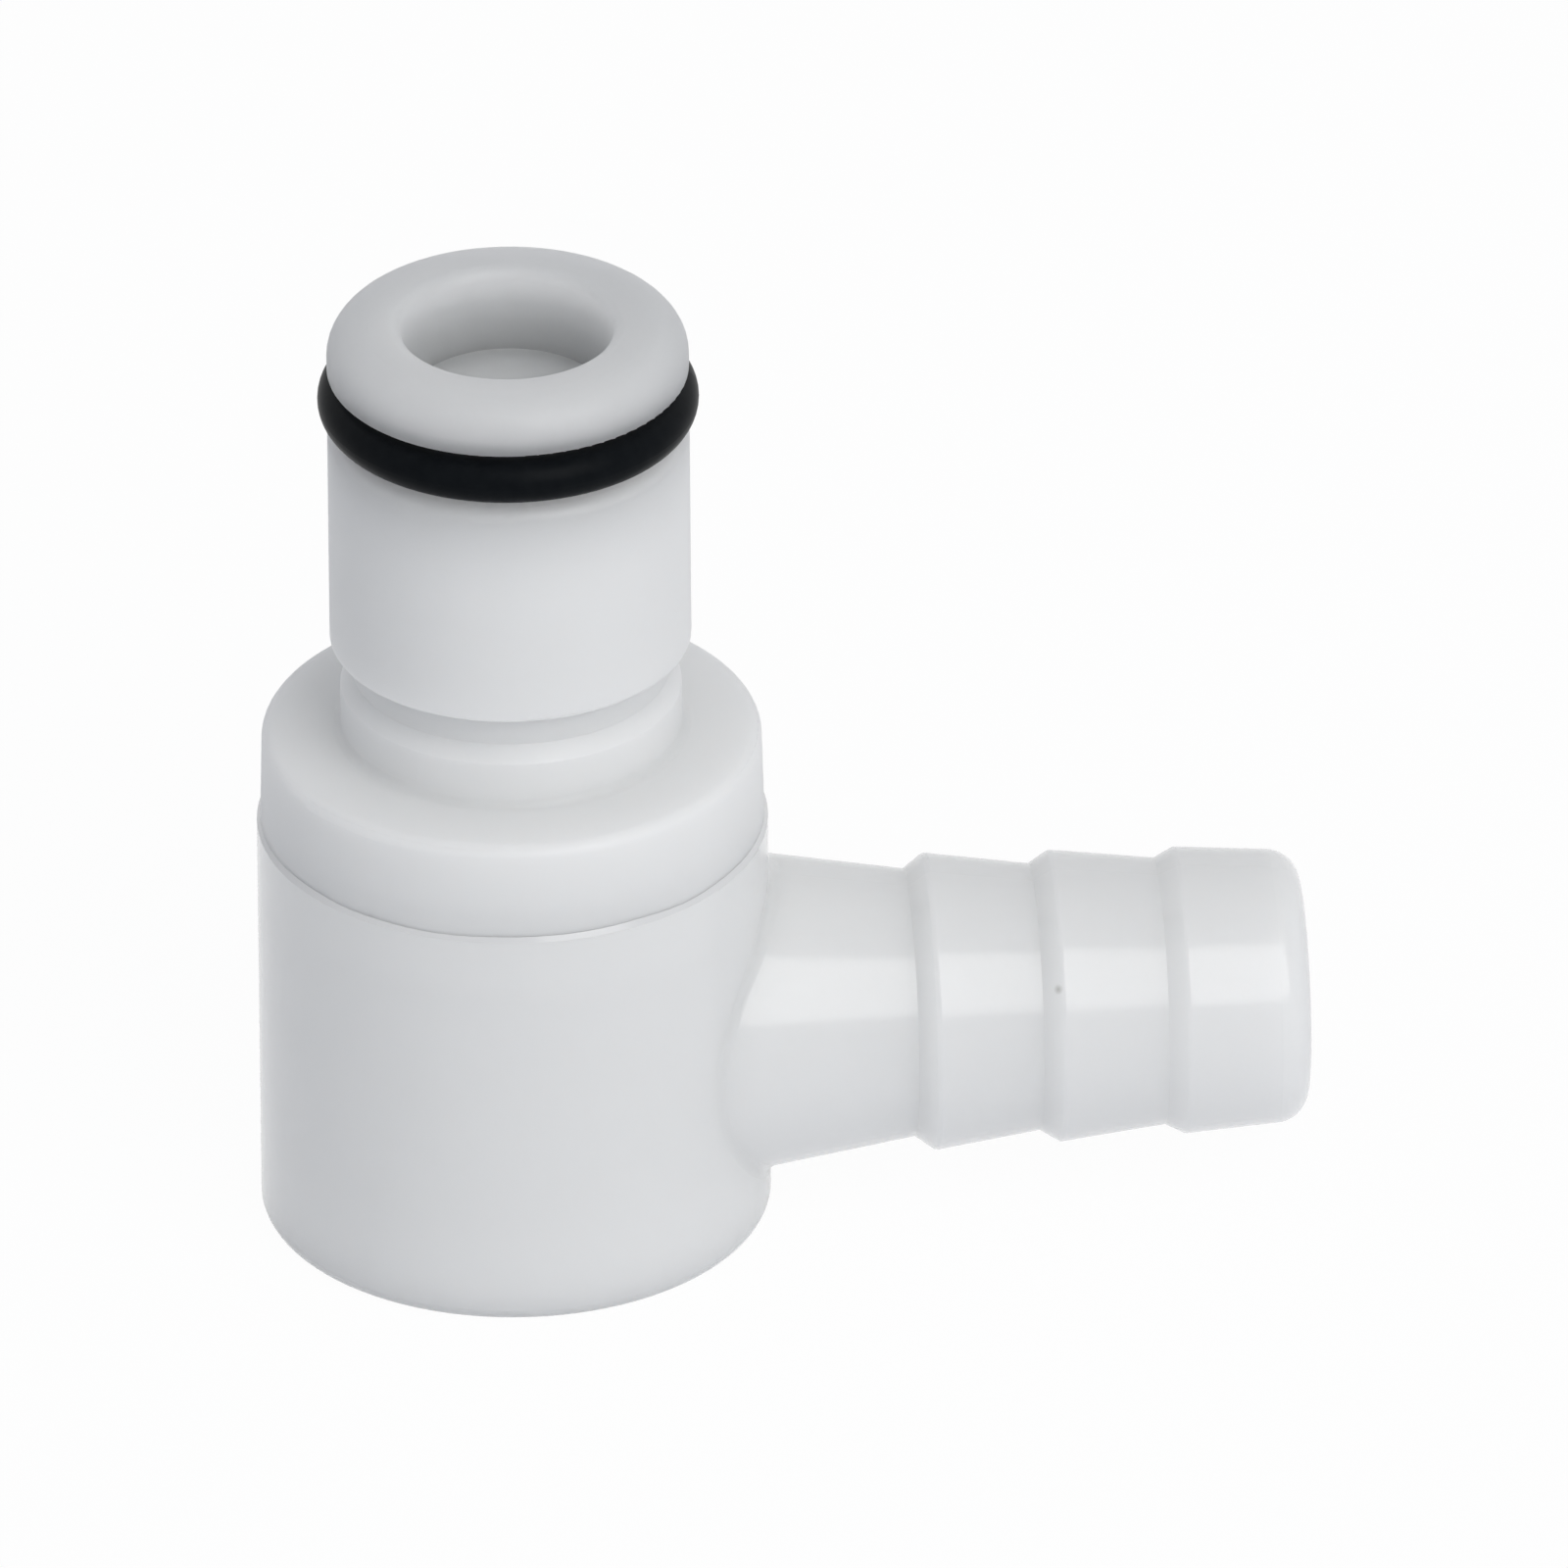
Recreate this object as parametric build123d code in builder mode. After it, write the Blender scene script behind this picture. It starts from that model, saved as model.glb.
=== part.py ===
from build123d import *
import os
from math import cos, radians, sin

# Elbow plug half of a plastic quick connect coupling, in millimetres.
# Z is the axis of the plug, upwards, and the hose barb points along +X.
# The origin is the middle of the flat underside.

# Lower shell
body_radius = 9.55
body_wall = 2.3
floor_thickness = 3.0
foot_round = 0.5

# Hose barb
barb_foot_room = 0.55
barb_head_room = 2.35
barb_stem_length = 5.25
barb_root_radius = 5.87
barb_waist_radius = 5.02
barb_ridge_radius = 5.38
barb_ridge_growth = 0.1
barb_valley_radius = 5.0
barb_end_radius = 5.05
barb_ridges = 3
barb_ridge_pitch = 4.7
barb_step_run = 0.75
barb_crest_round = 0.3
barb_end_run = 4.65
barb_tip_round = 1.25
barb_tip_flat = 0.4
barb_bore_chamfer = 0.2
barb_root_round = 0.6

# Weld joint between the two shells
skirt_length = 3.0
skirt_wall = 1.0
skirt_side_gap = 0.05
skirt_end_gap = 0.15

# Upper shell, outside
collar_step = 0.12
collar_height = 3.9
collar_draft = 0.1
collar_rim_round = 0.45
shoulder_rise = 0.15
shoulder_thickness = 1.8
neck_depth = 0.37
neck_length = 1.8
neck_corner_round = 0.35
neck_edge_round = 0.12
latch_groove_depth = 0.8
latch_groove_width = 1.35
latch_ramp_length = 0.65
spigot_radius = 6.75
spigot_length = 8.97
spigot_top_round = 0.45
spigot_foot_round = 0.15
lip_foot_round = 0.12
lip_side = 0.48
lip_round = 1.35
lip_flat = 1.0
mouth_round = 0.45

# Outer seal and its groove
ring_cord_diameter = 1.78
ring_groove_depth = 1.42
ring_groove_width = 2.4

# Upper shell, inside
seat_depth = 5.35
seat_half_angle = 45
groove_wall = 0.95

# Valve
valve_travel = 4.0
plug_height = 1.6
plug_side_gap = 0.15
plug_round = 0.25
seal_cord_diameter = 1.4
seal_groove_depth = 0.65
seal_groove_gap = 0.05
seat_gap = 0.05
head_overhang = 0.75
head_thickness = 1.0
core_radius = 2.0
wing_thickness = 1.4
wing_side_gap = 0.08
spring_flange_drop = 1.3
spring_flange_thickness = 1.0
spring_flange_margin = 0.5
tail_radius = 1.8
tail_length = 2.5
tail_chamfer = 0.4
stop_gap = 0.3

# Valve spring
wire_diameter = 0.7
spring_inner_gap = 0.6
spring_turns = 5
spring_end_gap = 0.05

# Heights that follow from the sizes above
barb_axis_height = foot_round + barb_foot_room + barb_root_round + barb_root_radius
body_height = barb_axis_height + barb_root_radius + barb_root_round + barb_head_room
collar_top = body_height + collar_height
shoulder_top = collar_top + shoulder_rise
latch_ramp_foot = shoulder_top + neck_length
latch_groove_bottom = latch_ramp_foot + latch_ramp_length
spigot_bottom = latch_groove_bottom + latch_groove_width
spigot_top = spigot_bottom + spigot_length
lip_bottom = spigot_top + ring_groove_width
nose_tip = lip_bottom + lip_foot_round + lip_side + lip_round
seat_edge = nose_tip - seat_depth
chamber_ceiling = collar_top - shoulder_thickness

# Places along the barb, from the axis of the plug
barb_waist_at = body_radius + barb_stem_length
barb_first_ridge = barb_waist_at + barb_step_run
barb_reach = barb_first_ridge + (barb_ridges - 1) * barb_ridge_pitch + barb_end_run

# Radii that follow from the sizes above
collar_radius = body_radius - collar_step
rim_radius = collar_radius - collar_draft
neck_radius = spigot_radius - neck_depth
latch_groove_radius = spigot_radius - latch_groove_depth
throat_radius = spigot_radius - lip_round - lip_flat - mouth_round
chamber_radius = body_radius - body_wall
barb_bore_radius = barb_end_radius - barb_tip_round - barb_tip_flat
skirt_radius = chamber_radius + skirt_wall
nose_bore_radius = latch_groove_radius - groove_wall
ring_groove_radius = spigot_radius - ring_groove_depth
plug_radius = throat_radius - plug_side_gap
seal_groove_radius = plug_radius - seal_groove_depth
head_radius = plug_radius + head_overhang
wing_radius = nose_bore_radius - wing_side_gap

# The seal ring of the valve touches the cone of the seat, less its gap
seat_angle = radians(seat_half_angle)
seat_run = (nose_bore_radius - throat_radius) * cos(seat_angle) / sin(seat_angle)
seal_cord_radius = seal_cord_diameter / 2
seal_ring_radius = seal_groove_radius + seal_cord_radius
seal_reach = seal_cord_radius + seat_gap + (seal_ring_radius - throat_radius) * cos(seat_angle)
seal_height = seat_edge - seal_reach / sin(seat_angle)
seal_groove_top = seal_height + seal_cord_radius + seal_groove_gap
seal_groove_bottom = seal_height - seal_cord_radius - seal_groove_gap
head_bottom = seal_groove_bottom - head_thickness
plug_top = seat_edge + plug_height

# The spring stands between the floor of the chamber and the flange of the valve
wire_radius = wire_diameter / 2
spring_radius = tail_radius + spring_inner_gap + wire_radius
spring_flange_radius = spring_radius + wire_radius + spring_flange_margin
spring_flange_bottom = chamber_ceiling - spring_flange_drop
spring_flange_top = spring_flange_bottom + spring_flange_thickness
tail_bottom = spring_flange_bottom - tail_length
post_top = tail_bottom - valve_travel - stop_gap
spring_low = floor_thickness + wire_radius
spring_high = spring_flange_bottom - spring_end_gap - wire_radius

os.makedirs("parts", exist_ok=True)


def corner(profile, along, height):
    """The corner of a profile sketch that lies nearest to a distance along X and a height."""
    return profile.vertices().sort_by_distance((along, height, 0))[0]


def ridge_crests():
    """Crests of the ridges, from the barrel outwards, as distance along X and height."""
    crests = []
    for ridge in range(barb_ridges):
        crest_radius = barb_ridge_radius + (barb_ridges - 1 - ridge) * barb_ridge_growth
        crests.append((barb_first_ridge + ridge * barb_ridge_pitch, barb_axis_height + crest_radius))
    return crests


def barb_outline():
    """Points of the barb from its root to its end face, as distance along X and height."""
    root_inside = chamber_radius / 2
    stem_slope = (barb_root_radius - barb_waist_radius) / barb_stem_length
    root_radius = barb_root_radius + stem_slope * (body_radius - root_inside)
    points = [(root_inside, barb_axis_height + root_radius)]
    valley = barb_waist_radius
    for crest_at, crest_height in ridge_crests():
        points.append((crest_at - barb_step_run, barb_axis_height + valley))
        points.append((crest_at, crest_height))
        valley = barb_valley_radius
    points.append((barb_reach, barb_axis_height + barb_end_radius))
    points.append((barb_reach, barb_axis_height))
    points.append((root_inside, barb_axis_height))
    return points


# Lower shell: a closed barrel with the hose barb on its side
with BuildPart() as elbow_housing:
    with BuildSketch(Plane.XZ) as barb_profile:
        with BuildLine():
            Polyline(*barb_outline(), close=True)
        make_face()
        for crest in ridge_crests():
            fillet(corner(barb_profile, *crest), barb_crest_round)
    revolve(axis=Axis((0, 0, barb_axis_height), (1, 0, 0)))
    # The barb ends half way into the wall of the barrel
    with BuildSketch(Plane.XY.offset(barb_axis_height)):
        Circle(body_radius - body_wall / 2)
    extrude(amount=body_height, both=True, mode=Mode.SUBTRACT)
    Cylinder(body_radius, body_height, align=(Align.CENTER, Align.CENTER, Align.MIN))
    root_edges = (
        elbow_housing.edges()
        .filter_by(lambda edge: edge.bounding_box().max.X < barb_waist_at)
        .filter_by(lambda edge: edge.bounding_box().min.X > 0)
    )
    fillet(root_edges, barb_root_round)
    fillet(elbow_housing.edges().group_by(Axis.Z)[0], foot_round)
    fillet(elbow_housing.edges().group_by(Axis.X)[-1], barb_tip_round)
    # Chamber of the valve, with a wider mouth for the skirt of the upper shell
    with BuildSketch(Plane.XY.offset(floor_thickness)):
        Circle(chamber_radius)
    extrude(amount=body_height - floor_thickness, mode=Mode.SUBTRACT)
    with BuildSketch(Plane.XY.offset(body_height - skirt_length - skirt_end_gap)):
        Circle(skirt_radius + skirt_side_gap)
    extrude(amount=skirt_length + skirt_end_gap, mode=Mode.SUBTRACT)
    # Passage through the barb
    with BuildSketch(Plane.YZ):
        with Locations((0, barb_axis_height)):
            Circle(barb_bore_radius)
    extrude(amount=barb_reach, mode=Mode.SUBTRACT)
    end_face = elbow_housing.faces().sort_by(Axis.X)[-1]
    chamfer(end_face.inner_wires().edges(), barb_bore_chamfer)
    # Post on the floor that guides the spring and stops the valve
    with BuildSketch(Plane.XY.offset(floor_thickness)):
        Circle(tail_radius)
    extrude(amount=post_top - floor_thickness)
elbow_housing.part.label = "elbow_housing"
export_step(elbow_housing.part, "parts/elbow_housing.step")


# Upper shell: collar, neck, latch groove, spigot with its ring groove, and the valve seat inside
with BuildPart() as nose_piece:
    with BuildSketch(Plane.XZ) as nose_profile:
        with BuildLine():
            Polyline(
                (chamber_radius, body_height - skirt_length),
                (skirt_radius, body_height - skirt_length),
                (skirt_radius, body_height),
                (collar_radius, body_height),
                (rim_radius, collar_top),
                (neck_radius, shoulder_top),
                (neck_radius, latch_ramp_foot),
                (latch_groove_radius, latch_groove_bottom),
                (latch_groove_radius, spigot_bottom),
                (spigot_radius, spigot_bottom),
                (spigot_radius, spigot_top),
                (ring_groove_radius, spigot_top),
                (ring_groove_radius, lip_bottom),
                (spigot_radius, lip_bottom),
                (spigot_radius, nose_tip),
                (throat_radius, nose_tip),
                (throat_radius, seat_edge),
                (nose_bore_radius, seat_edge - seat_run),
                (nose_bore_radius, chamber_ceiling),
                (chamber_radius, chamber_ceiling),
                close=True,
            )
        make_face()
        fillet(corner(nose_profile, rim_radius, collar_top), collar_rim_round)
        fillet(corner(nose_profile, neck_radius, shoulder_top), neck_corner_round)
        fillet(corner(nose_profile, neck_radius, latch_ramp_foot), neck_edge_round)
        fillet(corner(nose_profile, spigot_radius, spigot_bottom), spigot_foot_round)
        fillet(corner(nose_profile, spigot_radius, spigot_top), spigot_top_round)
        fillet(corner(nose_profile, spigot_radius, lip_bottom), lip_foot_round)
        fillet(corner(nose_profile, throat_radius, nose_tip), mouth_round)
        fillet(corner(nose_profile, spigot_radius, nose_tip), lip_round)
    revolve(axis=Axis.Z)
nose_piece.part.label = "nose_piece"
export_step(nose_piece.part, "parts/nose_piece.step")


# Outer seal ring, seated on the floor of its groove
with BuildPart() as nose_o_ring:
    with Locations((0, 0, (spigot_top + lip_bottom) / 2)):
        Torus(ring_groove_radius + ring_cord_diameter / 2, ring_cord_diameter / 2)
nose_o_ring.part.label = "nose_o_ring"
export_step(nose_o_ring.part, "parts/nose_o_ring.step")


# Valve: a plug in the throat, a seal groove, four guide wings and a spring flange
with BuildPart() as valve_poppet:
    with BuildSketch(Plane.XZ) as poppet_profile:
        with BuildLine():
            Polyline(
                (0, tail_bottom),
                (tail_radius, tail_bottom),
                (tail_radius, spring_flange_bottom),
                (spring_flange_radius, spring_flange_bottom),
                (spring_flange_radius, spring_flange_top),
                (core_radius, spring_flange_top),
                (core_radius, head_bottom),
                (head_radius, head_bottom),
                (head_radius, seal_groove_bottom),
                (seal_groove_radius, seal_groove_bottom),
                (seal_groove_radius, seal_groove_top),
                (plug_radius, seal_groove_top),
                (plug_radius, plug_top),
                (0, plug_top),
                close=True,
            )
        make_face()
        chamfer(corner(poppet_profile, tail_radius, tail_bottom), tail_chamfer)
        fillet(corner(poppet_profile, plug_radius, plug_top), plug_round)
    revolve(axis=Axis.Z)
    with BuildSketch(Plane.XY.offset(spring_flange_bottom)):
        Rectangle(2 * wing_radius, wing_thickness)
        Rectangle(wing_thickness, 2 * wing_radius)
        Circle(wing_radius, mode=Mode.INTERSECT)
    extrude(amount=head_bottom - spring_flange_bottom)
valve_poppet.part.label = "valve_poppet"
export_step(valve_poppet.part, "parts/valve_poppet.step")


# Seal ring of the valve
with BuildPart() as poppet_seal:
    with Locations((0, 0, seal_height)):
        Torus(seal_ring_radius, seal_cord_radius)
poppet_seal.part.label = "poppet_seal"
export_step(poppet_seal.part, "parts/poppet_seal.step")


# Valve spring, from the floor of the chamber to the flange of the valve
with BuildPart() as valve_spring:
    with BuildLine() as spring_line:
        Helix(
            pitch=(spring_high - spring_low) / spring_turns,
            height=spring_high - spring_low,
            radius=spring_radius,
            center=(0, 0, spring_low),
        )
    wire_path = spring_line.edges()[0]
    with BuildSketch(Plane(origin=wire_path @ 0, z_dir=wire_path % 0)):
        Circle(wire_radius)
    sweep(path=wire_path, is_frenet=True)
valve_spring.part.label = "valve_spring"
export_step(valve_spring.part, "parts/valve_spring.step")
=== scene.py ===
from math import cos, pi, radians, sin

import bmesh
import bpy
from mathutils import Matrix, Vector, noise


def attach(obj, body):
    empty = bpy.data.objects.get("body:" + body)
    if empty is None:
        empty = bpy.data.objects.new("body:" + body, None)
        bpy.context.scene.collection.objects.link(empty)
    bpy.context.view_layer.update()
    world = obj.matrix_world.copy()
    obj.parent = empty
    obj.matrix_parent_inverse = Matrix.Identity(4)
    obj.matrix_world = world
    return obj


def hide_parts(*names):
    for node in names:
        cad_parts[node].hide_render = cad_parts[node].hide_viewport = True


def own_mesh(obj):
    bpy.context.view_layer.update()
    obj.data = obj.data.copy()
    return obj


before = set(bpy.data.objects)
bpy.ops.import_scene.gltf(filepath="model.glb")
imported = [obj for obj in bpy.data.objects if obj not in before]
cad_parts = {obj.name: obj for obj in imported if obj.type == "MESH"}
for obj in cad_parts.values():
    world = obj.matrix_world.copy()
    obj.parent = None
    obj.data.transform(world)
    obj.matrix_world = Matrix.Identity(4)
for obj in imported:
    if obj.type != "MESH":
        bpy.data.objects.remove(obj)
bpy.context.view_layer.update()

# Camera, as fitted to the outline in the photograph
CAMERA_AZIMUTH = radians(-4.22)
CAMERA_ELEVATION = radians(29.94)
CAMERA_ROLL = radians(-0.465)
CAMERA_DISTANCE = 2.5
CAMERA_AIM = Vector((0.01019, 0.00012, 0.01711))
CAMERA_NEAR = 0.01
CAMERA_FAR = 20.0
SENSOR_WIDTH = 36.0
FRAME_PIXELS = 1600
PIXELS_PER_METRE = 27312

# Softbox, seen from the part
SOFTBOX_AZIMUTH = radians(27)
SOFTBOX_ELEVATION = radians(38.5)
SOFTBOX_DISTANCE = 0.5
SOFTBOX_WIDTH = 0.33
SOFTBOX_HEIGHT = 0.42
SOFTBOX_POWER = 1.08
SOFTBOX_COLOUR = (1.0, 0.99, 0.97)

# Room, brighter towards the horizon than overhead
ROOM_HORIZON = (0.605, 0.615, 0.64, 1)
ROOM_ZENITH = (0.42, 0.428, 0.445, 1)
WHITE = (1, 1, 1, 1)

# Floor, nearly white to the eye
FLOOR_SIZE = 3.0
FLOOR_COLOUR = (0.91, 0.92, 0.945, 1)
FLOOR_WHITE_SHARE = 0.96

# Milky plastic, with clouds in its colour and a fine grain in its skin
CLOUD_SCALE = 260.0
CLOUD_DETAIL = 3.0
GRAIN_SCALE = 2400.0
GRAIN_DETAIL = 2.0
GRAIN_LOW = 0.3
GRAIN_HIGH = 0.7
GRAIN_STRENGTH = 0.05
GRAIN_DEPTH = 0.00005
GLOSS_VARIATION = 0.03
PLASTIC_IOR = 1.50
SCATTER_TINT = (1.0, 0.97, 0.95)

# Colour, colour of the clouds and roughness of each plastic
HOUSING_COLOUR = (0.82, 0.825, 0.822)
HOUSING_CLOUD = (0.805, 0.81, 0.807)
HOUSING_ROUGHNESS = 0.17
NOSE_COLOUR = (0.84, 0.845, 0.842)
NOSE_CLOUD = (0.825, 0.83, 0.827)
NOSE_ROUGHNESS = 0.48
VALVE_ROUGHNESS = 0.40
# Weld bead colour, darker than the shells: painted shade, so that its upward-facing slope, which catches
# more light, looks no brighter than the shells
BEAD_PAINTED_SHADE_COLOUR = (0.69, 0.695, 0.70)
BEAD_PAINTED_SHADE_CLOUD = (0.71, 0.715, 0.72)
LINE_COLOUR = (0.86, 0.865, 0.865)
LINE_CLOUD = (0.84, 0.845, 0.845)
TRIM_ROUGHNESS = 0.2

# How far light goes into each plastic: a height and its depth, then a greater height and its depth
NOSE_SCATTER = (0.029, 0.0022, 0.037, 0.0142)
HOUSING_SCATTER = (0.010, 0.004, 0.016, 0.0012)
VALVE_SCATTER = (0.030, 0.003, 0.034, 0.010)

# Share of that depth at the seam, where the shells are welded, and how far from it the share rises to one
SEAM_SHARE = 0.03
SEAM_REACH = 0.001

# Dark speck in the moulding, in the second step of the barb
SPECK_PLACE = Vector((0.02004, -0.00455, 0.01042))
SPECK_CORE_RADIUS = 0.000045
SPECK_RIM_RADIUS = 0.00021
SPECK_COLOUR = (0.52, 0.52, 0.50, 1)

# Black rubber, slightly dusty
RUBBER_COLOUR = (0.0015, 0.0025, 0.0038, 1)
RUBBER_DUST = (0.0065, 0.0080, 0.0095, 1)
RUBBER_ROUGHNESS = 0.36
RUBBER_SPECULAR = 0.04
DUST_SCALE = 1800.0
DUST_DETAIL = 4.0
DUST_STRENGTH = 0.15
DUST_DEPTH = 0.00003

# Drawn steel wire
STEEL_COLOUR = (0.62, 0.63, 0.64, 1)
STEEL_ROUGHNESS = 0.28
DRAW_MARK_SCALE = 3000.0
DRAW_MARK_STRENGTH = 0.1
DRAW_MARK_DEPTH = 0.00002

# Weld bead that eases the step at the seam between the two shells
SEAM_HEIGHT = 0.01634
BEAD_SINK = 0.000005
BEAD_OUTER_RADIUS = 0.009542
BEAD_INNER_RADIUS = 0.009405
BEAD_TOP_HEIGHT = 0.01656
BEAD_LUMPS = 0.0001
BEAD_LUMP_SCALE = 300.0

# Fine line that the mould left round the rim of the collar
RIM_LINE_MIDDLE_RADIUS = 0.00919
RIM_LINE_HEIGHT = 0.02011
RIM_LINE_RADIUS = 0.000028
RIM_LINE_SIDES = 8

# Face of the valve, which stands higher in the mouth than its plug
VALVE_EDGE = 0.0333
VALVE_RISE = 0.0006

# Valve spring, with closed end turns
SPRING_FLOOR = 0.003
SPRING_TOP = 0.01709
SPRING_RADIUS = 0.00275
SPRING_TURNS = 5
WIRE_RADIUS = 0.00035
WIRE_SIDES = 12
STEPS_PER_TURN = 40

# Meshes of the new pieces
RING_STEPS = 180
MERGE_DISTANCE = 1e-7
SHARP_ANGLE = radians(35)


def direction(azimuth, elevation):
    """Unit vector from the part towards an azimuth, 0 being the front, and an elevation."""
    level = cos(elevation)
    return Vector((sin(azimuth) * level, -cos(azimuth) * level, sin(elevation)))


def empty_material(name):
    """A new material with an empty tree, its nodes and its links."""
    material = bpy.data.materials.new(name)
    material.use_nodes = True
    material.node_tree.nodes.clear()
    return material, material.node_tree.nodes, material.node_tree.links


def add(nodes, kind, values=None, **settings):
    """A new node with its settings and the values of its sockets."""
    made = nodes.new(kind)
    for name, value in settings.items():
        setattr(made, name, value)
    for socket, value in (values or {}).items():
        made.inputs[socket].default_value = value
    return made


def blended_colour(nodes, links, first, second, factor):
    """A colour that goes from the first to the second as the factor goes from nothing to one."""
    blend = add(nodes, "ShaderNodeMix", {"A": first, "B": second}, data_type="RGBA")
    links.new(factor, blend.inputs["Factor"])
    return blend


def rough_skin(nodes, links, height, strength, depth, skin):
    """Presses a fine relief into a skin."""
    bump = add(nodes, "ShaderNodeBump", {"Strength": strength, "Distance": depth})
    links.new(height, bump.inputs["Height"])
    links.new(bump.outputs["Normal"], skin.inputs["Normal"])


def white_to_the_eye(nodes, links):
    """One where the camera, a reflection or a clear piece looks, and nothing where light is gathered."""
    path = nodes.new("ShaderNodeLightPath")
    first = add(nodes, "ShaderNodeMath", operation="MAXIMUM")
    both = add(nodes, "ShaderNodeMath", operation="MAXIMUM")
    links.new(path.outputs["Is Camera Ray"], first.inputs[0])
    links.new(path.outputs["Is Glossy Ray"], first.inputs[1])
    links.new(first.outputs["Value"], both.inputs[0])
    links.new(path.outputs["Is Transmission Ray"], both.inputs[1])
    return both.outputs["Value"]


def speck_share(nodes, links, place):
    """One inside the dark speck and nothing away from it, with a soft rim."""
    away = add(nodes, "ShaderNodeVectorMath", {1: SPECK_PLACE}, operation="DISTANCE")
    rim = {"From Min": SPECK_CORE_RADIUS, "From Max": SPECK_RIM_RADIUS, "To Min": 1.0, "To Max": 0.0}
    share = add(nodes, "ShaderNodeMapRange", rim)
    links.new(place.outputs["Object"], away.inputs[0])
    links.new(away.outputs["Value"], share.inputs["Value"])
    return share.outputs["Result"]


def scatter_depth(nodes, links, place, scatter):
    """How far light goes into the plastic: by height on the part, and less beside the seam."""
    low, low_depth, high, high_depth = scatter
    heights = {"From Min": low, "From Max": high, "To Min": low_depth, "To Max": high_depth}
    parts = nodes.new("ShaderNodeSeparateXYZ")
    depth = add(nodes, "ShaderNodeMapRange", heights, interpolation_type="SMOOTHSTEP")
    above = add(nodes, "ShaderNodeMath", {1: SEAM_HEIGHT}, operation="SUBTRACT")
    away = add(nodes, "ShaderNodeMath", operation="ABSOLUTE")
    share = add(nodes, "ShaderNodeMapRange", {"From Max": SEAM_REACH, "To Min": SEAM_SHARE})
    product = add(nodes, "ShaderNodeMath", operation="MULTIPLY")
    links.new(place.outputs["Object"], parts.inputs["Vector"])
    links.new(parts.outputs["Z"], depth.inputs["Value"])
    links.new(parts.outputs["Z"], above.inputs[0])
    links.new(above.outputs["Value"], away.inputs[0])
    links.new(away.outputs["Value"], share.inputs["Value"])
    links.new(depth.outputs["Result"], product.inputs[0])
    links.new(share.outputs["Result"], product.inputs[1])
    return product.outputs["Value"]


def moulded_plastic(name, colour, cloud, roughness, scatter=None):
    """Milky natural plastic with faint clouds in its colour and a fine moulded skin."""
    material, nodes, links = empty_material(name)
    output = nodes.new("ShaderNodeOutputMaterial")
    skin = add(nodes, "ShaderNodeBsdfPrincipled", {"IOR": PLASTIC_IOR, "Subsurface Radius": SCATTER_TINT})
    place = nodes.new("ShaderNodeTexCoord")
    clouds = add(nodes, "ShaderNodeTexNoise", {"Scale": CLOUD_SCALE, "Detail": CLOUD_DETAIL})
    grain = add(nodes, "ShaderNodeTexNoise", {"Scale": GRAIN_SCALE, "Detail": GRAIN_DETAIL})
    links.new(place.outputs["Object"], clouds.inputs["Vector"])
    links.new(place.outputs["Object"], grain.inputs["Vector"])
    tint = blended_colour(nodes, links, (*colour, 1), (*cloud, 1), clouds.outputs["Fac"])
    speck = add(nodes, "ShaderNodeMix", {"B": SPECK_COLOUR}, data_type="RGBA")
    links.new(speck_share(nodes, links, place), speck.inputs["Factor"])
    links.new(tint.outputs["Result"], speck.inputs["A"])
    links.new(speck.outputs["Result"], skin.inputs["Base Color"])
    rough_skin(nodes, links, grain.outputs["Fac"], GRAIN_STRENGTH, GRAIN_DEPTH, skin)
    gloss_range = {
        "From Min": GRAIN_LOW,
        "From Max": GRAIN_HIGH,
        "To Min": roughness - GLOSS_VARIATION,
        "To Max": roughness + GLOSS_VARIATION,
    }
    gloss = add(nodes, "ShaderNodeMapRange", gloss_range)
    links.new(grain.outputs["Fac"], gloss.inputs["Value"])
    links.new(gloss.outputs["Result"], skin.inputs["Roughness"])
    if scatter:
        skin.inputs["Subsurface Weight"].default_value = 1.0
        links.new(scatter_depth(nodes, links, place, scatter), skin.inputs["Subsurface Scale"])
    links.new(skin.outputs["BSDF"], output.inputs["Surface"])
    return material


def seal_rubber(name):
    """Black rubber with a slightly dusty, fine skin."""
    material, nodes, links = empty_material(name)
    finish = {"Roughness": RUBBER_ROUGHNESS, "Specular IOR Level": RUBBER_SPECULAR}
    output = nodes.new("ShaderNodeOutputMaterial")
    skin = add(nodes, "ShaderNodeBsdfPrincipled", finish)
    place = nodes.new("ShaderNodeTexCoord")
    dust = add(nodes, "ShaderNodeTexNoise", {"Scale": DUST_SCALE, "Detail": DUST_DETAIL})
    links.new(place.outputs["Object"], dust.inputs["Vector"])
    shade = blended_colour(nodes, links, RUBBER_COLOUR, RUBBER_DUST, dust.outputs["Fac"])
    links.new(shade.outputs["Result"], skin.inputs["Base Color"])
    rough_skin(nodes, links, dust.outputs["Fac"], DUST_STRENGTH, DUST_DEPTH, skin)
    links.new(skin.outputs["BSDF"], output.inputs["Surface"])
    return material


def spring_steel(name):
    """Drawn stainless wire."""
    material, nodes, links = empty_material(name)
    finish = {"Base Color": STEEL_COLOUR, "Metallic": 1.0, "Roughness": STEEL_ROUGHNESS}
    output = nodes.new("ShaderNodeOutputMaterial")
    skin = add(nodes, "ShaderNodeBsdfPrincipled", finish)
    place = nodes.new("ShaderNodeTexCoord")
    draw_marks = add(nodes, "ShaderNodeTexNoise", {"Scale": DRAW_MARK_SCALE})
    links.new(place.outputs["Object"], draw_marks.inputs["Vector"])
    rough_skin(nodes, links, draw_marks.outputs["Fac"], DRAW_MARK_STRENGTH, DRAW_MARK_DEPTH, skin)
    links.new(skin.outputs["BSDF"], output.inputs["Surface"])
    return material


def paint(piece, material):
    """Gives a piece one material."""
    piece.data.materials.clear()
    piece.data.materials.append(material)


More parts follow.
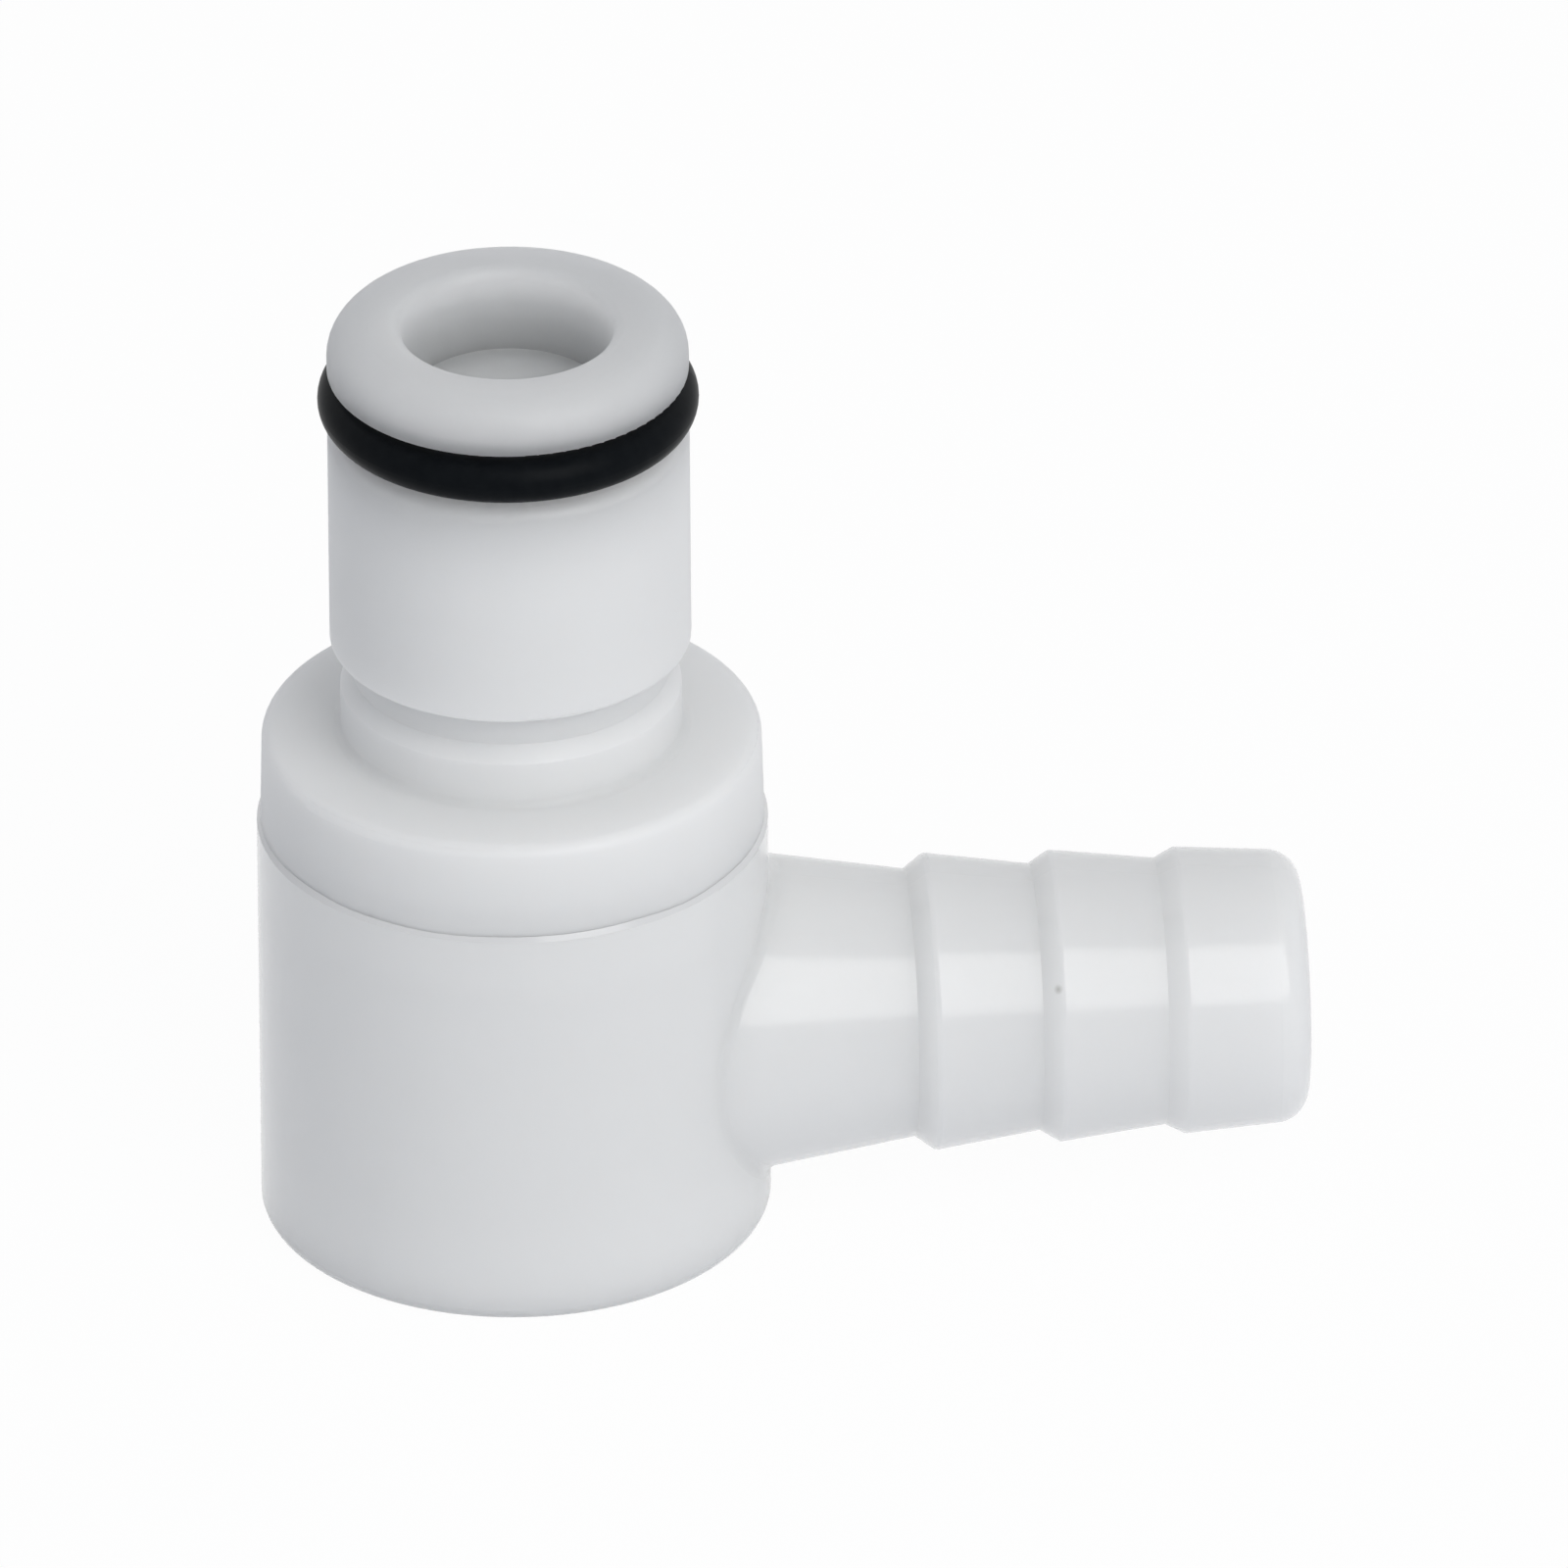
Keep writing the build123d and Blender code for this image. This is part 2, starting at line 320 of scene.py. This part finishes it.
def new_piece(name, mesh_maker, body, material):
    """An object at the origin from a mesh, carried by a body and with its material."""
    edit = bmesh.new()
    mesh_maker(edit)
    bmesh.ops.remove_doubles(edit, verts=edit.verts, dist=MERGE_DISTANCE)
    bmesh.ops.recalc_face_normals(edit, faces=edit.faces)
    for face in edit.faces:
        face.smooth = True
    mesh = bpy.data.meshes.new(name)
    edit.to_mesh(mesh)
    edit.free()
    mesh.set_sharp_from_angle(angle=SHARP_ANGLE)
    piece = bpy.data.objects.new(name, mesh)
    bpy.context.scene.collection.objects.link(piece)
    paint(piece, material)
    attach(piece, body)
    return piece


def ring_section(edit, radius, middle, sides):
    """A wire circle that stands across the X axis, ready to be spun about Z."""
    place = Matrix.Translation(middle) @ Matrix.Rotation(radians(90), 4, "X")
    return bmesh.ops.create_circle(edit, segments=sides, radius=radius, matrix=place)["verts"]


def spin_round(edit, section):
    """Spins a wire section once round Z and closes it on itself."""
    edges = {edge for vert in section for edge in vert.link_edges}
    bmesh.ops.spin(
        edit,
        geom=[*section, *edges],
        cent=(0, 0, 0),
        axis=(0, 0, 1),
        angle=2 * pi,
        steps=RING_STEPS,
        use_merge=True,
    )


def spin_coil(edit, section, turns, rise):
    """Spins a wire section about Z over some turns, rising by a height in all, and gives its last place."""
    steps = round(turns * STEPS_PER_TURN)
    edges = {edge for vert in section for edge in vert.link_edges if all(v in section for v in edge.verts)}
    spun = bmesh.ops.spin(
        edit,
        geom=[*section, *edges],
        cent=(0, 0, 0),
        axis=(0, 0, 1),
        dvec=(0, 0, rise / steps),
        angle=turns * 2 * pi,
        steps=steps,
    )
    return [item for item in spun["geom_last"] if isinstance(item, bmesh.types.BMVert)]


def weld_bead_mesh(edit):
    """Thin bead of plastic pressed out of the welded seam, with an uneven upper edge."""
    foot = SEAM_HEIGHT - BEAD_SINK
    inner = edit.verts.new((BEAD_INNER_RADIUS, 0, foot))
    outer = edit.verts.new((BEAD_OUTER_RADIUS, 0, foot))
    top = edit.verts.new((BEAD_INNER_RADIUS, 0, BEAD_TOP_HEIGHT))
    for start, end in ((inner, outer), (outer, top), (top, inner)):
        edit.edges.new((start, end))
    spin_round(edit, [inner, outer, top])
    for vert in edit.verts:
        if vert.co.z > SEAM_HEIGHT:
            vert.co.z += BEAD_LUMPS * noise.noise(vert.co * BEAD_LUMP_SCALE)


def rim_line_mesh(edit):
    """Fine raised line that the mould left round the rim of the collar."""
    middle = (RIM_LINE_MIDDLE_RADIUS, 0, RIM_LINE_HEIGHT)
    spin_round(edit, ring_section(edit, RIM_LINE_RADIUS, middle, RIM_LINE_SIDES))


def raised_valve_mesh(edit):
    """The valve with its face as high in the mouth as the photograph shows it."""
    edit.from_mesh(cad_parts["valve_poppet"].data)
    for vert in edit.verts:
        if vert.co.z > VALVE_EDGE:
            vert.co.z += VALVE_RISE


def spring_mesh(edit):
    """Wire spring: a closed turn, the working turns and a closed turn, with flat ends."""
    closed_rise = 2 * WIRE_RADIUS
    low = SPRING_FLOOR + WIRE_RADIUS
    working_rise = SPRING_TOP - SPRING_FLOOR - 2 * WIRE_RADIUS - 2 * closed_rise
    section = ring_section(edit, WIRE_RADIUS, (SPRING_RADIUS, 0, low), WIRE_SIDES)
    section = spin_coil(edit, section, 1, closed_rise)
    section = spin_coil(edit, section, SPRING_TURNS, working_rise)
    spin_coil(edit, section, 1, closed_rise)
    ends = [edge for edge in edit.edges if edge.is_boundary]
    bmesh.ops.holes_fill(edit, edges=ends, sides=0)


def white_floor():
    """Pale floor that the camera sees as white, with the part's shadow left in it."""
    bpy.ops.mesh.primitive_plane_add(size=FLOOR_SIZE)
    floor = bpy.context.object
    floor.name = "floor"
    material, nodes, links = empty_material("floor_paper")
    output = nodes.new("ShaderNodeOutputMaterial")
    paper = add(nodes, "ShaderNodeBsdfDiffuse", {"Color": FLOOR_COLOUR})
    glow = add(nodes, "ShaderNodeEmission", {"Color": WHITE, "Strength": 1.0})
    share = add(nodes, "ShaderNodeMath", {1: FLOOR_WHITE_SHARE}, operation="MULTIPLY")
    mix = nodes.new("ShaderNodeMixShader")
    links.new(white_to_the_eye(nodes, links), share.inputs[0])
    links.new(share.outputs["Value"], mix.inputs["Fac"])
    links.new(paper.outputs["BSDF"], mix.inputs[1])
    links.new(glow.outputs["Emission"], mix.inputs[2])
    links.new(mix.outputs["Shader"], output.inputs["Surface"])
    paint(floor, material)


def softbox():
    """One softbox at the front right."""
    lamp = bpy.data.lights.new("softbox", "AREA")
    lamp.shape = "RECTANGLE"
    lamp.size = SOFTBOX_WIDTH
    lamp.size_y = SOFTBOX_HEIGHT
    lamp.energy = SOFTBOX_POWER
    lamp.color = SOFTBOX_COLOUR
    stand = bpy.data.objects.new("softbox", lamp)
    towards = direction(SOFTBOX_AZIMUTH, SOFTBOX_ELEVATION)
    stand.location = CAMERA_AIM + towards * SOFTBOX_DISTANCE
    stand.rotation_euler = towards.to_track_quat("Z", "Y").to_euler()
    bpy.context.scene.collection.objects.link(stand)


def pale_room():
    """A room that is brighter towards the horizon, with a backdrop that is white to the eye."""
    world = bpy.data.worlds.new("room")
    bpy.context.scene.world = world
    world.use_nodes = True
    nodes, links = world.node_tree.nodes, world.node_tree.links
    nodes.clear()
    output = nodes.new("ShaderNodeOutputWorld")
    room = nodes.new("ShaderNodeBackground")
    backdrop = add(nodes, "ShaderNodeBackground", {"Color": WHITE})
    place = nodes.new("ShaderNodeTexCoord")
    parts = nodes.new("ShaderNodeSeparateXYZ")
    links.new(place.outputs["Generated"], parts.inputs["Vector"])
    rise = blended_colour(nodes, links, ROOM_HORIZON, ROOM_ZENITH, parts.outputs["Z"])
    links.new(rise.outputs["Result"], room.inputs["Color"])
    mix = nodes.new("ShaderNodeMixShader")
    links.new(white_to_the_eye(nodes, links), mix.inputs["Fac"])
    links.new(room.outputs["Background"], mix.inputs[1])
    links.new(backdrop.outputs["Background"], mix.inputs[2])
    links.new(mix.outputs["Shader"], output.inputs["Surface"])


def studio_camera():
    """Long lens at the photograph's angle."""
    lens = bpy.data.cameras.new("camera")
    lens.sensor_width = SENSOR_WIDTH
    lens.lens = SENSOR_WIDTH * PIXELS_PER_METRE * CAMERA_DISTANCE / FRAME_PIXELS
    lens.clip_start = CAMERA_NEAR
    lens.clip_end = CAMERA_FAR
    camera = bpy.data.objects.new("camera", lens)
    towards = direction(CAMERA_AZIMUTH, CAMERA_ELEVATION)
    turn = towards.to_track_quat("Z", "Y").to_matrix().to_4x4()
    roll = Matrix.Rotation(CAMERA_ROLL, 4, "Z")
    camera.matrix_world = Matrix.Translation(CAMERA_AIM + towards * CAMERA_DISTANCE) @ turn @ roll
    bpy.context.scene.collection.objects.link(camera)
    bpy.context.scene.camera = camera


# Finishes of the solids
housing_plastic = moulded_plastic(
    "housing_plastic", HOUSING_COLOUR, HOUSING_CLOUD, HOUSING_ROUGHNESS, HOUSING_SCATTER
)
nose_plastic = moulded_plastic("nose_plastic", NOSE_COLOUR, NOSE_CLOUD, NOSE_ROUGHNESS, NOSE_SCATTER)
valve_plastic = moulded_plastic(
    "valve_plastic", HOUSING_COLOUR, HOUSING_CLOUD, VALVE_ROUGHNESS, VALVE_SCATTER
)
rubber = seal_rubber("seal_rubber")
steel = spring_steel("spring_steel")
finishes = {
    "elbow_housing": housing_plastic,
    "nose_piece": nose_plastic,
    "nose_o_ring": rubber,
    "valve_poppet": valve_plastic,
    "poppet_seal": rubber,
    "valve_spring": steel,
}
for name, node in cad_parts.items():
    paint(node, finishes[name])

# Fine trim of the shells
# The weld bead's plastic carries painted shade: a darker colour that offsets the extra light on its slope
bead_painted_shade_plastic = moulded_plastic("weld_bead_plastic_painted_shade", BEAD_PAINTED_SHADE_COLOUR, BEAD_PAINTED_SHADE_CLOUD, TRIM_ROUGHNESS)
line_plastic = moulded_plastic("rim_line_plastic", LINE_COLOUR, LINE_CLOUD, TRIM_ROUGHNESS)
new_piece("weld_bead", weld_bead_mesh, "housing", bead_painted_shade_plastic)
new_piece("rim_line", rim_line_mesh, "housing", line_plastic)

# Valve and spring in the place of their plain solids
valve = new_piece("valve_with_raised_face", raised_valve_mesh, "valve", valve_plastic)
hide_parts("valve_poppet")
spring = new_piece("closed_end_spring", spring_mesh, "housing", steel)
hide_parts("valve_spring")
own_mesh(spring)

# Studio
white_floor()
softbox()
pale_room()
studio_camera()
view = bpy.context.scene.view_settings
view.view_transform = "Standard"
